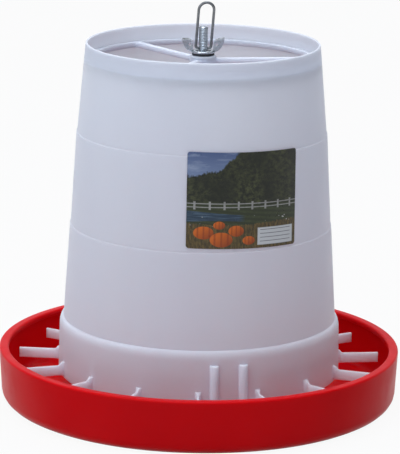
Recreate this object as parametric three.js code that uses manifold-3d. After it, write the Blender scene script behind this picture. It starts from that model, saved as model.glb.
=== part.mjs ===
import * as THREE from "three";
import { mergeVertices } from "three/addons/utils/BufferGeometryUtils.js";
import Module from "manifold-3d";

// Hanging poultry feeder: a tapered feed hopper with a finned skirt over a round feed pan.
// A rod up the middle carries the pan, and the hopper's three-armed spider is clamped on the rod
// between a wing nut and a hexagon nut, so turning the nuts down lowers the hopper.
// Millimetres, +Z up. The origin is the middle of the pan's underside, and the front faces -Y.
// The hopper stands at its highest setting, with the widest feed gap.

const wasm = await Module();
wasm.setup();

// Driving dimensions

const seatGap = 0.3;
const threadClearance = 0.3;
const cutOverrun = 2;
const weldTolerance = 0.001;

const panRadius = 178;
const panHeight = 48;
const panFloor = 3;
const panWall = 3;
const panLipWidth = 8.4;
const feedGap = 23;

const hopperWall = 2;
const skirtHeight = 41;
const shoulderRise = 9;
const tubeHeight = 244.5;
const lowerBandShare = 0.346;
const middleBandShare = 0.3362;
const skirtFootRadius = 125.2;
const skirtTopRadius = 124.4;
const tubeFootRadius = 120.8;
const middleBandFootRadius = 114.8;
const upperBandFootRadius = 109.4;
const rimRadius = 102.4;
const bandStep = 0.7;
const bandStepDrop = 0.8;

const finCount = 15;
const finLipClearance = 7.2;
const frontAngle = -90;
const fullTurn = 360;

const rodRadius = 4;
const rodAboveHub = 25.1;
const hubRadius = 11.7;
const hubHeight = 12;
const hubAboveRing = 2.6;
const ringBelowRim = 13.5;

const bailWireRadius = 1.2;
const bailFlangeClearance = 0.6;

const washerRadius = 8;
const washerThickness = 1.6;
const nutAcrossFlats = 13;
const nutHeight = 6.5;

const roundSegments = 90;
const smallSegments = 24;

// Heights that follow from the driving dimensions

const hopperFoot = panFloor + feedGap;
const skirtTop = hopperFoot + skirtHeight;
const tubeFoot = skirtTop + shoulderRise;
const hopperRim = tubeFoot + tubeHeight;
const middleBandHeight = tubeHeight * middleBandShare;
const middleBandFoot = tubeFoot + tubeHeight * lowerBandShare;
const upperBandFoot = middleBandFoot + middleBandHeight;
const upperBandHeight = hopperRim - upperBandFoot;
const ringTop = hopperRim - ringBelowRim;
const hubTop = ringTop + hubAboveRing;
const rodTop = hubTop + rodAboveHub;
const rodBore = rodRadius + threadClearance;

const rubberWasher = { radius: 9.8, thickness: 1.7 };
const flange = { radius: 10.5, thickness: 2.2 };
const wingNutFoot = hubTop + seatGap + rubberWasher.thickness + seatGap;
const flangeTop = wingNutFoot + flange.thickness;
const bailPivotHeight = flangeTop + bailFlangeClearance + bailWireRadius;
const panLipRadius = panRadius - panLipWidth;
const skirtSlope = (skirtTopRadius - skirtFootRadius) / skirtHeight;

const feedCone = { footRadius: 92, topRadius: 17, rise: 55, bossThickness: 3 };
const coneTop = panFloor + feedCone.rise;
const coneUnderside = coneTop - feedCone.bossThickness;

// Helpers

const radians = THREE.MathUtils.degToRad;

// Points along an arc from one angle to another, in degrees, as [radius, height] pairs.
function arc(centre, radius, from, to, steps) {
  const points = [];
  for (let step = 0; step <= steps; step += 1) {
    const angle = radians(from + ((to - from) * step) / steps);
    points.push([centre[0] + radius * Math.cos(angle), centre[1] + radius * Math.sin(angle)]);
  }
  return points;
}

// A closed [radius, height] outline turned about the Z axis.
function turned(outline, segments) {
  const closed = [...outline, outline[0]].map(([radius, height]) => new THREE.Vector2(radius, height));
  return new THREE.LatheGeometry(closed, segments).rotateX(Math.PI / 2);
}

// A flat ring or washer standing on the given height.
function disc(innerRadius, outerRadius, foot, thickness, segments) {
  const top = foot + thickness;
  return turned([[innerRadius, foot], [outerRadius, foot], [outerRadius, top], [innerRadius, top]], segments);
}

// A shape drawn in the XZ plane, given a thickness across Y and centred on it.
function plate(shape, thickness, curveSegments) {
  const geometry = new THREE.ExtrudeGeometry(shape, { depth: thickness, bevelEnabled: false, curveSegments });
  return geometry.rotateX(Math.PI / 2).translate(0, thickness / 2, 0);
}

// A shape drawn in the XY plane, standing on the given height.
function column(shape, foot, height, curveSegments) {
  const geometry = new THREE.ExtrudeGeometry(shape, { depth: height, bevelEnabled: false, curveSegments });
  return geometry.translate(0, 0, foot);
}

function polygon(points) {
  return new THREE.Shape(points.map(([x, y]) => new THREE.Vector2(x, y)));
}

// A round bar along X, centred on the Z axis at the given height.
function crossBar(radius, length, height) {
  const bar = new THREE.CylinderGeometry(radius, radius, length, smallSegments);
  return bar.rotateZ(Math.PI / 2).translate(0, 0, height);
}

function solid(geometry) {
  const bare = geometry.clone();
  bare.deleteAttribute("normal");
  bare.deleteAttribute("uv");
  const merged = mergeVertices(bare, weldTolerance);
  const corners = merged.index.array;
  const triangles = [];
  for (let i = 0; i < corners.length; i += 3) {
    const [a, b, c] = corners.slice(i, i + 3);
    if (a !== b && b !== c && c !== a) triangles.push(a, b, c);
  }
  const vertProperties = new Float32Array(merged.attributes.position.array);
  const triVerts = new Uint32Array(triangles);
  return new wasm.Manifold(new wasm.Mesh({ numProp: 3, vertProperties, triVerts }));
}

function meshGeometry(body) {
  const result = body.getMesh();
  const geometry = new THREE.BufferGeometry();
  geometry.setAttribute("position", new THREE.BufferAttribute(result.vertProperties, 3));
  geometry.setIndex(new THREE.BufferAttribute(result.triVerts, 1));
  return geometry;
}

function piece(name, geometry, material) {
  const mesh = new THREE.Mesh(geometry, material);
  mesh.name = name;
  return mesh;
}

// Materials

function redPlastic() {
  return new THREE.MeshStandardMaterial({ color: 0xa8141c, roughness: 0.38, metalness: 0 });
}

function whitePlastic() {
  return new THREE.MeshStandardMaterial({ color: 0xd9dde6, roughness: 0.42, metalness: 0 });
}

function zincSteel() {
  return new THREE.MeshStandardMaterial({ color: 0x98a3ad, roughness: 0.32, metalness: 1 });
}

function blackRubber() {
  return new THREE.MeshStandardMaterial({ color: 0x16171a, roughness: 0.8, metalness: 0 });
}

function printedLabel() {
  return new THREE.MeshStandardMaterial({ color: 0x4f7f6a, roughness: 0.35, metalness: 0 });
}

// Feed pan: steep wall with an inward rolled lip, flat floor, and a cone that spreads the feed.
function makeFeedPan() {
  const wallDraft = 2.6;
  const footRound = 10;
  const lipThickness = 2.4;
  const lipDepth = 5;
  const lipRound = 1.6;
  const arcSteps = 4;
  const roundSteps = 2;
  const footRadius = panRadius - wallDraft;
  const innerFootRadius = footRadius - panWall;
  const innerRound = footRound - panWall;
  const coneSlope = Math.atan2(feedCone.rise, feedCone.footRadius - feedCone.topRadius);
  const coneInset = feedCone.bossThickness / Math.sin(coneSlope);
  const underTopRadius = feedCone.topRadius - coneInset / 2;
  const underFootRadius = feedCone.footRadius - coneInset;
  const outline = [
    ...arc([footRadius - footRound, footRound], footRound, -90, 0, arcSteps),
    ...arc([panRadius - lipRound, panHeight - lipRound], lipRound, 0, 90, roundSteps),
    ...arc([panLipRadius + lipRound, panHeight - lipRound], lipRound, 90, 180, roundSteps),
    [panLipRadius, panHeight - lipDepth],
    [panLipRadius + lipThickness, panHeight - lipDepth],
    [panLipRadius + lipThickness, panHeight - lipThickness],
    [panRadius - panWall, panHeight - lipThickness],
    ...arc([innerFootRadius - innerRound, panFloor + innerRound], innerRound, 0, -90, arcSteps),
    [feedCone.footRadius, panFloor],
    [feedCone.topRadius, coneTop],
    [rodBore, coneTop],
    [rodBore, coneUnderside],
    [underTopRadius, coneUnderside],
    [underFootRadius, 0],
  ];
  return piece("feed_pan", turned(outline, roundSegments), redPlastic());
}

// Outer radius of the hopper's tube at a height within its upper band.
function upperBandRadius(height) {
  const share = (height - upperBandFoot) / upperBandHeight;
  return upperBandFootRadius + (rimRadius - upperBandFootRadius) * share;
}

// Outer radius of the hopper's tube at a height within its middle band, or past the band's ends.
function middleBandRadius(height) {
  const topRadius = upperBandFootRadius + bandStep;
  const share = (height - middleBandFoot) / middleBandHeight;
  return middleBandFootRadius + (topRadius - middleBandFootRadius) * share;
}

// Wall of the hopper: skirt, rounded shoulder, and a tube that narrows in three bands.
function hopperShell() {
  const rimRound = hopperWall / 2;
  const shoulderSteps = 5;
  const rimSteps = 4;
  const outerShoulder = [];
  const innerShoulder = [];
  for (let step = 0; step <= shoulderSteps; step += 1) {
    const angle = (Math.PI / 2) * (step / shoulderSteps);
    const radius = tubeFootRadius + (skirtTopRadius - tubeFootRadius) * Math.cos(angle);
    const height = skirtTop + shoulderRise * Math.sin(angle);
    outerShoulder.push([radius, height]);
    innerShoulder.unshift([radius - hopperWall, height - hopperWall]);
  }
  const outline = [
    [skirtFootRadius - hopperWall, hopperFoot],
    [skirtFootRadius, hopperFoot],
    ...outerShoulder,
    [middleBandFootRadius + bandStep, middleBandFoot - bandStepDrop],
    [middleBandFootRadius, middleBandFoot],
    [upperBandFootRadius + bandStep, upperBandFoot - bandStepDrop],
    [upperBandFootRadius, upperBandFoot],
    ...arc([rimRadius - rimRound, hopperRim - rimRound], rimRound, 0, 180, rimSteps),
    [upperBandFootRadius - hopperWall, upperBandFoot],
    [upperBandFootRadius + bandStep - hopperWall, upperBandFoot - bandStepDrop],
    [middleBandFootRadius - hopperWall, middleBandFoot],
    [middleBandFootRadius + bandStep - hopperWall, middleBandFoot - bandStepDrop],
    ...innerShoulder,
  ];
  return turned(outline, roundSegments);
}

// Outer radius of the hopper's skirt at a height above its foot.
function skirtRadius(rise) {
  return skirtFootRadius + skirtSlope * rise;
}

// One radial fin of the skirt, pointing along +X, with a sloped web at its root. It starts a little
// above the skirt's foot, and its tip passes inside the pan's lip.
function skirtFin() {
  const tipRadius = panLipRadius - finLipClearance;
  const foot = 2.3;
  const height = 9;
  const thickness = 2;
  const webRise = 4;
  const webRun = 5;
  const rootDepth = hopperWall / 2;
  const top = foot + height;
  const webTop = top + webRise;
  const shape = polygon([
    [skirtRadius(foot) - rootDepth, hopperFoot + foot],
    [tipRadius, hopperFoot + foot],
    [tipRadius, hopperFoot + top],
    [skirtRadius(top) + webRun, hopperFoot + top],
    [skirtRadius(webTop), hopperFoot + webTop],
    [skirtRadius(webTop) - rootDepth, hopperFoot + webTop],
  ]);
  return plate(shape, thickness, 1);
}

// One half-round upright rib on the outside of the skirt, at +X, leaning with the skirt's draft.
function skirtRib() {
  const radius = 3.9;
  const height = 38;
  const curveSegments = 8;
  const shape = new THREE.Shape();
  shape.moveTo(-hopperWall / 2, -radius);
  shape.lineTo(0, -radius);
  shape.absarc(0, 0, radius, -Math.PI / 2, Math.PI / 2, false);
  shape.lineTo(-hopperWall / 2, radius);
  shape.closePath();
  const lean = new THREE.Matrix4().makeShear(0, 0, 0, 0, skirtSlope, 0);
  const rib = column(shape, 0, height, curveSegments).applyMatrix4(lean);
  return rib.translate(skirtFootRadius, 0, hopperFoot);
}

// Hopper: one moulding of the tube, the skirt, its fins and three pairs of upright ribs.
function makeHopper() {
  const ribPairCount = 3;
  const ribHalfSpread = 5.8;
  const finStep = fullTurn / finCount;
  const fin = skirtFin();
  const rib = skirtRib();
  let body = solid(hopperShell());
  for (let index = 0; index < finCount; index += 1) {
    body = body.add(solid(fin.clone().rotateZ(radians(frontAngle + index * finStep))));
  }
  for (let pair = 0; pair < ribPairCount; pair += 1) {
    const middle = frontAngle + finStep / 2 + (pair * fullTurn) / ribPairCount;
    for (const side of [-1, 1]) {
      body = body.add(solid(rib.clone().rotateZ(radians(middle + side * ribHalfSpread))));
    }
  }
  return piece("hopper", meshGeometry(body), whitePlastic());
}

// Hanger spider: a ring that wedges in the narrowing tube, three arms, a hub for the rod, and a
// short leg under each arm's end that keeps the ring square to the wall.
function makeHangerSpider() {
  const armCount = 3;
  const ringWidth = 4;
  const ringHeight = 5;
  const armWidth = 4.5;
  const legThickness = 3;
  const legDrop = 10;
  const firstArmAngle = 7;
  const ringFoot = ringTop - ringHeight;
  const topRadius = upperBandRadius(ringTop) - hopperWall - seatGap;
  const footRadius = upperBandRadius(ringFoot) - hopperWall - seatGap;
  const ringInner = topRadius - ringWidth;
  const ring = turned(
    [[ringInner, ringFoot], [footRadius, ringFoot], [topRadius, ringTop], [ringInner, ringTop]],
    roundSegments,
  );
  const hubFoot = hubTop - hubHeight;
  const armLength = ringInner + ringWidth / 2;
  const arm = new THREE.BoxGeometry(armLength, armWidth, ringHeight);
  arm.translate(armLength / 2, 0, ringFoot + ringHeight / 2);
  const legInner = topRadius - legThickness;
  const leg = new THREE.BoxGeometry(legThickness, armWidth, legDrop + ringHeight);
  leg.translate(legInner + legThickness / 2 - seatGap / 2, 0, ringTop - (legDrop + ringHeight) / 2);
  let body = solid(ring).add(solid(disc(rodBore, hubRadius, hubFoot, hubHeight, smallSegments)));
  for (let index = 0; index < armCount; index += 1) {
    const angle = radians(firstArmAngle + (index * fullTurn) / armCount);
    body = body.add(solid(arm.clone().rotateZ(angle)));
    body = body.add(solid(leg.clone().rotateZ(angle)));
  }
  const bore = new THREE.CylinderGeometry(rodBore, rodBore, hubHeight + cutOverrun, smallSegments);
  bore.rotateX(Math.PI / 2).translate(0, 0, hubFoot + hubHeight / 2);
  body = body.subtract(solid(bore));
  return piece("hanger_spider", meshGeometry(body), whitePlastic());
}

// Centre rod: a plain model of a threaded rod, with a chamfered top and a cross hole for the bail.
function makeCentreRod() {
  const tipChamfer = 0.8;
  const holeClearance = 0.4;
  const holeRadius = bailWireRadius + holeClearance;
  const endBelowNut = 3;
  const panNutFoot = coneUnderside - seatGap - washerThickness - seatGap - nutHeight;
  const rodFoot = panNutFoot - endBelowNut;
  const outline = [
    [0, rodFoot],
    [rodRadius, rodFoot],
    [rodRadius, rodTop - tipChamfer],
    [rodRadius - tipChamfer, rodTop],
    [0, rodTop],
  ];
  const bar = solid(turned(outline, smallSegments));
  const hole = solid(crossBar(holeRadius, rodRadius * 2 + cutOverrun, bailPivotHeight));
  return piece("centre_rod", meshGeometry(bar.subtract(hole)), zincSteel());
}

// One upswept wing of the wing nut, along +X, with a small punched hole near its inner edge.
function nutWing() {
  const innerFootRadius = 8.9;
  const innerTopRadius = 11.2;
  const tipRadius = 18.8;
  const height = 13;
  const innerDip = 0.9;
  const tipFlare = 0.9;
  const thickness = 1.8;
  const holeRadius = 1.3;
  const holeReach = 11.6;
  const holeHeight = 7.3;
  const curveSegments = 6;
  const top = wingNutFoot + height;
  const outerFoot = wingNutFoot + flange.thickness / 4;
  const shape = new THREE.Shape();
  shape.moveTo(innerFootRadius, outerFoot);
  shape.lineTo(innerFootRadius, flangeTop);
  shape.quadraticCurveTo(innerFootRadius, top - innerDip, innerTopRadius, top - innerDip);
  shape.lineTo(tipRadius, top);
  shape.quadraticCurveTo(tipRadius - tipFlare, flangeTop, flange.radius, outerFoot);
  shape.closePath();
  const hole = new THREE.Path();
  hole.absarc(holeReach, wingNutFoot + holeHeight, holeRadius, 0, 2 * Math.PI, false);
  shape.holes.push(hole);
  return plate(shape, thickness, curveSegments);
}

function makeWingNut() {
  const wing = nutWing();
  let body = solid(disc(rodBore, flange.radius, wingNutFoot, flange.thickness, smallSegments));
  body = body.add(solid(wing));
  body = body.add(solid(wing.clone().rotateZ(Math.PI)));
  return piece("wing_nut", meshGeometry(body), zincSteel());
}

// Hexagon nut standing on the given height, with its outer corners chamfered at both ends.
function makeHexNut(name, foot) {
  const sides = 6;
  const cornerRadius = nutAcrossFlats / 2 / Math.cos(Math.PI / sides);
  const chamfer = 0.9;
  const corners = [];
  for (let side = 0; side < sides; side += 1) {
    const angle = (2 * Math.PI * side) / sides;
    corners.push([cornerRadius * Math.cos(angle), cornerRadius * Math.sin(angle)]);
  }
  const top = foot + nutHeight;
  const envelope = [
    [rodBore, foot],
    [cornerRadius - chamfer, foot],
    [cornerRadius, foot + chamfer],
    [cornerRadius, top - chamfer],
    [cornerRadius - chamfer, top],
    [rodBore, top],
  ];
  const prism = solid(column(polygon(corners), foot, nutHeight, 1));
  const body = prism.intersect(solid(turned(envelope, smallSegments)));
  return piece(name, meshGeometry(body), zincSteel());
}

function makeFlatWasher(name, foot) {
  return piece(name, disc(rodBore, washerRadius, foot, washerThickness, smallSegments), zincSteel());
}

// Hanging bail: a wire loop whose inturned ends pivot in the rod's cross hole.
function makeHangingBail() {
  const legOffset = 6.65;
  const height = 41.1;
  const bendRadius = 1.8;
  const endInset = 1.2;
  const leanAngle = 4;
  const wireSides = 8;
  const bendSteps = 3;
  const crownSteps = 10;
  const stepWires = 2.5;
  const crownCentre = height - bailWireRadius - legOffset;
  const half = [
    [endInset, 0],
    ...arc([legOffset - bendRadius, bendRadius], bendRadius, -90, 0, bendSteps),
  ];
  const outline = [
    ...half,
    ...arc([0, crownCentre], legOffset, 0, 180, crownSteps),
    ...half.map(([x, z]) => [-x, z]).reverse(),
  ];
  const lean = Math.tan(radians(leanAngle));
  const route = new THREE.CurvePath();
  const places = outline.map(([x, z]) => new THREE.Vector3(x + z * lean, 0, bailPivotHeight + z));
  for (let index = 1; index < places.length; index += 1) {
    route.add(new THREE.LineCurve3(places[index - 1], places[index]));
  }
  const section = new THREE.Shape();
  section.absarc(0, 0, bailWireRadius, 0, 2 * Math.PI, false);
  const steps = Math.round(route.getLength() / (bailWireRadius * stepWires));
  const curveSegments = wireSides / 2;
  const wire = new THREE.ExtrudeGeometry(section, { extrudePath: route, steps, curveSegments });
  return piece("hanging_bail", wire, zincSteel());
}

// Printed label: a thin curved sheet on the tube's front, right of the middle, stuck on a little
// askew.
function makeFrontLabel() {
  const width = 97.8;
  const height = 82.4;
  const footAboveStep = 2.6;
  const thickness = 0.35;
  const cornerRadius = 2.7;
  const centreAngle = -70.4;
  const askewAngle = 1.4;
  const cornerSteps = 4;
  const side = width / 2 - cornerRadius;
  const rise = height / 2 - cornerRadius;
  const outline = [
    ...arc([side, -rise], cornerRadius, -90, 0, cornerSteps),
    ...arc([side, rise], cornerRadius, 0, 90, cornerSteps),
    ...arc([-side, rise], cornerRadius, 90, 180, cornerSteps),
    ...arc([-side, -rise], cornerRadius, 180, 270, cornerSteps),
  ];
  const spare = side * Math.tan(radians(askewAngle));
  const foot = middleBandFoot + footAboveStep - spare;
  const top = foot + height + spare * 2;
  const footRadius = middleBandRadius(foot) + seatGap;
  const topRadius = middleBandRadius(top) + seatGap;
  const sheet = turned(
    [[footRadius, foot], [footRadius + thickness, foot], [topRadius + thickness, top], [topRadius, top]],
    roundSegments,
  );
  const cutter = plate(polygon(outline), footRadius, 1).rotateY(radians(askewAngle));
  cutter.translate(0, -footRadius, (foot + top) / 2);
  cutter.rotateZ(radians(centreAngle - frontAngle));
  return piece("front_label", meshGeometry(solid(sheet).intersect(solid(cutter))), printedLabel());
}

// Assembly

function makeFeeder() {
  const feeder = new THREE.Group();
  const pan = new THREE.Group();
  const hubFoot = hubTop - hubHeight;
  const hubWasherFoot = hubFoot - seatGap - washerThickness;
  const panWasherFoot = coneUnderside - seatGap - washerThickness;
  pan.add(
    makeFeedPan(),
    makeCentreRod(),
    makeFlatWasher("cone_washer", coneTop + seatGap),
    makeHexNut("cone_nut", coneTop + seatGap + washerThickness + seatGap),
    makeFlatWasher("pan_washer", panWasherFoot),
    makeHexNut("pan_nut", panWasherFoot - seatGap - nutHeight),
  );
  const hopper = new THREE.Group();
  hopper.add(
    makeHopper(),
    makeHangerSpider(),
    makeFrontLabel(),
    piece(
      "rubber_washer",
      disc(rodBore, rubberWasher.radius, hubTop + seatGap, rubberWasher.thickness, smallSegments),
      blackRubber(),
    ),
    makeFlatWasher("hub_washer", hubWasherFoot),
  );
  feeder.add(pan, hopper, makeWingNut(), makeHexNut("hub_nut", hubWasherFoot - seatGap - nutHeight));
  feeder.add(makeHangingBail());
  return feeder;
}

export default makeFeeder();
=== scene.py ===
import math

import bmesh
import bpy
from mathutils import Matrix, Vector


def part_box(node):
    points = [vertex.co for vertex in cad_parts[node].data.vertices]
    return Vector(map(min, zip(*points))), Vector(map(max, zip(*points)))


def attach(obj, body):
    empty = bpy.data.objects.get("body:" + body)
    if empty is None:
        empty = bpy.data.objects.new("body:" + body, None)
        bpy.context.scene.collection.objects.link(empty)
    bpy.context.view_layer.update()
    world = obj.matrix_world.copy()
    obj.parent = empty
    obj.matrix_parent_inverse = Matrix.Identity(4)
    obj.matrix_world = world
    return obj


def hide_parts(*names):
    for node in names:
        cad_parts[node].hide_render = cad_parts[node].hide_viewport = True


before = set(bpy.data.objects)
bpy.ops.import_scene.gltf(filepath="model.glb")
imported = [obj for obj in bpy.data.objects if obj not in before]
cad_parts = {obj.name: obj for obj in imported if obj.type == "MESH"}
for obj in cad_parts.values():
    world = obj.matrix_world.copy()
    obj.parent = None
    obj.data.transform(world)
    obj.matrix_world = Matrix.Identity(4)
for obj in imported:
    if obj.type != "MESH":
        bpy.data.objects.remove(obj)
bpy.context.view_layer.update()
mm = 0.001
fullTurn = 2 * math.pi
clearBore = 4.3  # radius in mm of every hole that the rod runs through
print("frame loaded with", len(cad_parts), "nodes")


# Small mesh helpers

def tidyMesh(bm):
    bmesh.ops.remove_doubles(bm, verts=bm.verts[:], dist=0.002 * mm)
    bmesh.ops.recalc_face_normals(bm, faces=bm.faces[:])


def onlyKind(items, kind):
    return [item for item in items if isinstance(item, kind)]


def roundCorners(bm, corners, outline):  # the third number of an outline's point is its rounding in mm
    for corner, (across, up, rounding) in zip(corners, outline):
        if rounding:
            bmesh.ops.bevel(bm, geom=[corner], affect="VERTICES", offset=rounding * mm,
                            offset_type="OFFSET", segments=5, profile=0.5, material=-1)


def revolve(outline, steps):  # outline: radius, height and corner rounding in mm, turned about Z
    bm = bmesh.new()
    corners = [bm.verts.new((radius * mm, 0, height * mm)) for radius, height, rounding in outline]
    for corner, following in zip(corners, corners[1:] + corners[:1]):
        bm.edges.new((corner, following))
    roundCorners(bm, corners, outline)
    bmesh.ops.spin(bm, geom=bm.verts[:] + bm.edges[:], cent=(0, 0, 0), axis=(0, 0, 1), dvec=(0, 0, 0),
                   angle=fullTurn, steps=steps, use_merge=True, use_duplicate=False)
    tidyMesh(bm)
    return bm


def plateFrom(outline, thickness):  # a flat plate in the XZ plane, made of x, z and corner rounding in mm
    bm = bmesh.new()
    corners = [bm.verts.new((x * mm, -thickness / 2 * mm, z * mm)) for x, z, rounding in outline]
    bm.faces.new(corners)
    roundCorners(bm, corners, outline)
    wall = bmesh.ops.extrude_face_region(bm, geom=bm.faces[:])
    bmesh.ops.translate(bm, verts=onlyKind(wall["geom"], bmesh.types.BMVert), vec=(0, thickness * mm, 0))
    tidyMesh(bm)
    return bm


def bevelEdges(bm, edges, width, segments):
    bmesh.ops.bevel(bm, geom=edges, affect="EDGES", offset=width * mm, offset_type="OFFSET",
                    segments=segments, profile=0.5, clamp_overlap=True, material=-1)


def softenEdges(bm, width, segments, sharperThan):  # bevels the edges that fold more than an angle
    folded = [edge for edge in bm.edges
              if len(edge.link_faces) == 2 and edge.calc_face_angle() > math.radians(sharperThan)]
    bevelEdges(bm, folded, width, segments)


def sliceAt(bm, place, direction, **cleared):  # place in mm
    bmesh.ops.bisect_plane(bm, geom=bm.verts[:] + bm.edges[:] + bm.faces[:],
                           plane_co=[part * mm for part in place], plane_no=direction, **cleared)


def closeHoles(bm):
    bmesh.ops.holes_fill(bm, edges=[edge for edge in bm.edges if edge.is_boundary], sides=0)


def turnBy(bm, angle):  # about Z, in degrees
    bmesh.ops.rotate(bm, verts=bm.verts[:], cent=(0, 0, 0),
                     matrix=Matrix.Rotation(math.radians(angle), 3, "Z"))
    return bm


def roundBar(radius, length, centre, along, segments):
    bm = bmesh.new()
    bmesh.ops.create_cone(bm, cap_ends=True, segments=segments, radius1=radius * mm, radius2=radius * mm,
                          depth=length * mm)
    turn = Vector((0, 0, 1)).rotation_difference(Vector(along)).to_matrix()
    bmesh.ops.rotate(bm, verts=bm.verts[:], cent=(0, 0, 0), matrix=turn)
    bmesh.ops.translate(bm, verts=bm.verts[:], vec=Vector(centre) * mm)
    return bm


def temporaryObject(bm):
    mesh = bpy.data.meshes.new("temporary")
    bm.to_mesh(mesh)
    bm.free()
    thing = bpy.data.objects.new("temporary", mesh)
    bpy.context.scene.collection.objects.link(thing)
    return thing


def combine(bm, other, operation):  # joins or cuts one closed bmesh with another
    body = temporaryObject(bm)
    tool = temporaryObject(other)
    joint = body.modifiers.new("joint", "BOOLEAN")
    joint.operation = operation
    joint.solver = "MANIFOLD"
    joint.object = tool
    result = bpy.data.meshes.new_from_object(body.evaluated_get(bpy.context.evaluated_depsgraph_get()))
    left = bmesh.new()
    left.from_mesh(result)
    for thing in (body, tool):
        mesh = thing.data
        bpy.data.objects.remove(thing)
        bpy.data.meshes.remove(mesh)
    bpy.data.meshes.remove(result)
    return left


def makePiece(name, bm, body, finish, replaced, smoothBelow=38):
    bmesh.ops.dissolve_degenerate(bm, dist=0.001 * mm, edges=bm.edges[:])
    mesh = bpy.data.meshes.new(name)
    bm.to_mesh(mesh)
    bm.free()
    mesh.shade_smooth()
    mesh.set_sharp_from_angle(angle=math.radians(smoothBelow))
    mesh.materials.append(finish)
    piece = bpy.data.objects.new(name, mesh)
    bpy.context.scene.collection.objects.link(piece)
    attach(piece, body)
    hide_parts(*replaced)
    return piece


# Shader helpers

def nodeWith(tree, kind, **settings):
    node = tree.nodes.new(kind)
    for name, value in settings.items():
        setattr(node, name, value)
    return node


def plug(tree, value, socket):  # a socket is linked, anything else is set
    if isinstance(value, bpy.types.NodeSocket):
        tree.links.new(value, socket)
    else:
        socket.default_value = value


def reckon(tree, operation, first, second=0.0, third=0.0, clamp=False):
    node = nodeWith(tree, "ShaderNodeMath", operation=operation, use_clamp=clamp)
    for value, socket in zip((first, second, third), node.inputs):
        plug(tree, value, socket)
    return node.outputs[0]


def times(tree, first, second, clamp=False):
    return reckon(tree, "MULTIPLY", first, second, clamp=clamp)


def alignment(tree, first, second):  # 1 where two directions agree
    node = nodeWith(tree, "ShaderNodeVectorMath", operation="DOT_PRODUCT")
    plug(tree, first, node.inputs[0])
    plug(tree, second, node.inputs[1])
    return node.outputs["Value"]


def blendColours(tree, share, first, second):  # a plain colour is a tuple of red, green and blue
    node = nodeWith(tree, "ShaderNodeMix", data_type="RGBA")
    plug(tree, share, node.inputs["Factor"])
    for value, socket in ((first, node.inputs[6]), (second, node.inputs[7])):
        plug(tree, (*value, 1) if isinstance(value, tuple) else value, socket)
    return node.outputs[2]


def spread(tree, value, low, high, newLow=0.0, newHigh=1.0, smooth=False):
    node = nodeWith(tree, "ShaderNodeMapRange", clamp=True)
    node.interpolation_type = "SMOOTHSTEP" if smooth else "LINEAR"
    for item, socket in zip((value, low, high, newLow, newHigh), node.inputs):
        plug(tree, item, socket)
    return node.outputs[0]


def noiseAt(tree, vector, scale, detail=2.0, roughness=0.5):
    node = nodeWith(tree, "ShaderNodeTexNoise")
    plug(tree, vector, node.inputs["Vector"])
    plug(tree, scale, node.inputs["Scale"])
    plug(tree, detail, node.inputs["Detail"])
    plug(tree, roughness, node.inputs["Roughness"])
    return node.outputs["Fac"]


def stretched(tree, vector, scale):
    node = nodeWith(tree, "ShaderNodeMapping", vector_type="POINT")
    plug(tree, vector, node.inputs["Vector"])
    plug(tree, scale, node.inputs["Scale"])
    return node.outputs[0]


def placeOn(tree, kind="Object"):
    return nodeWith(tree, "ShaderNodeTexCoord").outputs[kind]


def partsOf(tree, vector):
    node = nodeWith(tree, "ShaderNodeSeparateXYZ")
    plug(tree, vector, node.inputs[0])
    return node.outputs


def startGroup(name, inputs, outputs):  # every input and output is a number
    group = bpy.data.node_groups.new(name, "ShaderNodeTree")
    for label, value in inputs.items():
        socket = group.interface.new_socket(label, in_out="INPUT", socket_type="NodeSocketFloat")
        socket.default_value = value
    for label in outputs:
        group.interface.new_socket(label, in_out="OUTPUT", socket_type="NodeSocketFloat")
    return group, group.nodes.new("NodeGroupInput").outputs, group.nodes.new("NodeGroupOutput").inputs


def useGroup(tree, group, **values):
    node = nodeWith(tree, "ShaderNodeGroup", node_tree=group)
    for label, value in values.items():
        plug(tree, value, node.inputs[label])
    return node.outputs


def startMaterial(name, colour, roughness, plain=None):  # plain: sockets that are the same all over
    material = bpy.data.materials.new(name)
    material.use_nodes = True
    tree = material.node_tree
    shader = tree.nodes["Principled BSDF"]
    shader.inputs["Base Color"].default_value = (*colour, 1)
    shader.inputs["Roughness"].default_value = roughness
    for label, value in (plain or {}).items():
        shader.inputs[label].default_value = value
    material.diffuse_color = (*colour, 1)
    return material, tree, shader


def dress(tree, shader, colour, gloss, height, bump):
    relief = nodeWith(tree, "ShaderNodeBump")
    relief.inputs["Strength"].default_value, relief.inputs["Distance"].default_value = bump
    plug(tree, height, relief.inputs["Height"])
    for value, label in ((colour, "Base Color"), (gloss, "Roughness"), (relief.outputs[0], "Normal")):
        tree.links.new(value, shader.inputs[label])


# Shared effects, on Object coordinates: a noise scale is about its waves in a metre

def mouldedSkinGroup():  # fine grain, slow waves of a thin moulding and a slight change of tone
    skin = {"grainHeight": 0.06, "waveStretch": (1, 1, 0.35), "patchesPerWave": 3.1}
    group, start, end = startGroup("mouldedSkin", {"grain": 1400.0, "wave": 16.0},
                                   ("height", "tone", "patch"))
    place = placeOn(group)
    grain = noiseAt(group, place, start["grain"], detail=3.0, roughness=0.6)
    wave = noiseAt(group, stretched(group, place, skin["waveStretch"]), start["wave"], roughness=0.45)
    patch = noiseAt(group, place, times(group, start["wave"], skin["patchesPerWave"]),
                    detail=4.0, roughness=0.55)
    group.links.new(reckon(group, "ADD", times(group, grain, skin["grainHeight"]), wave), end["height"])
    group.links.new(spread(group, wave, 0.3, 0.7), end["tone"])
    group.links.new(spread(group, patch, 0.35, 0.65), end["patch"])
    return group


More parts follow.
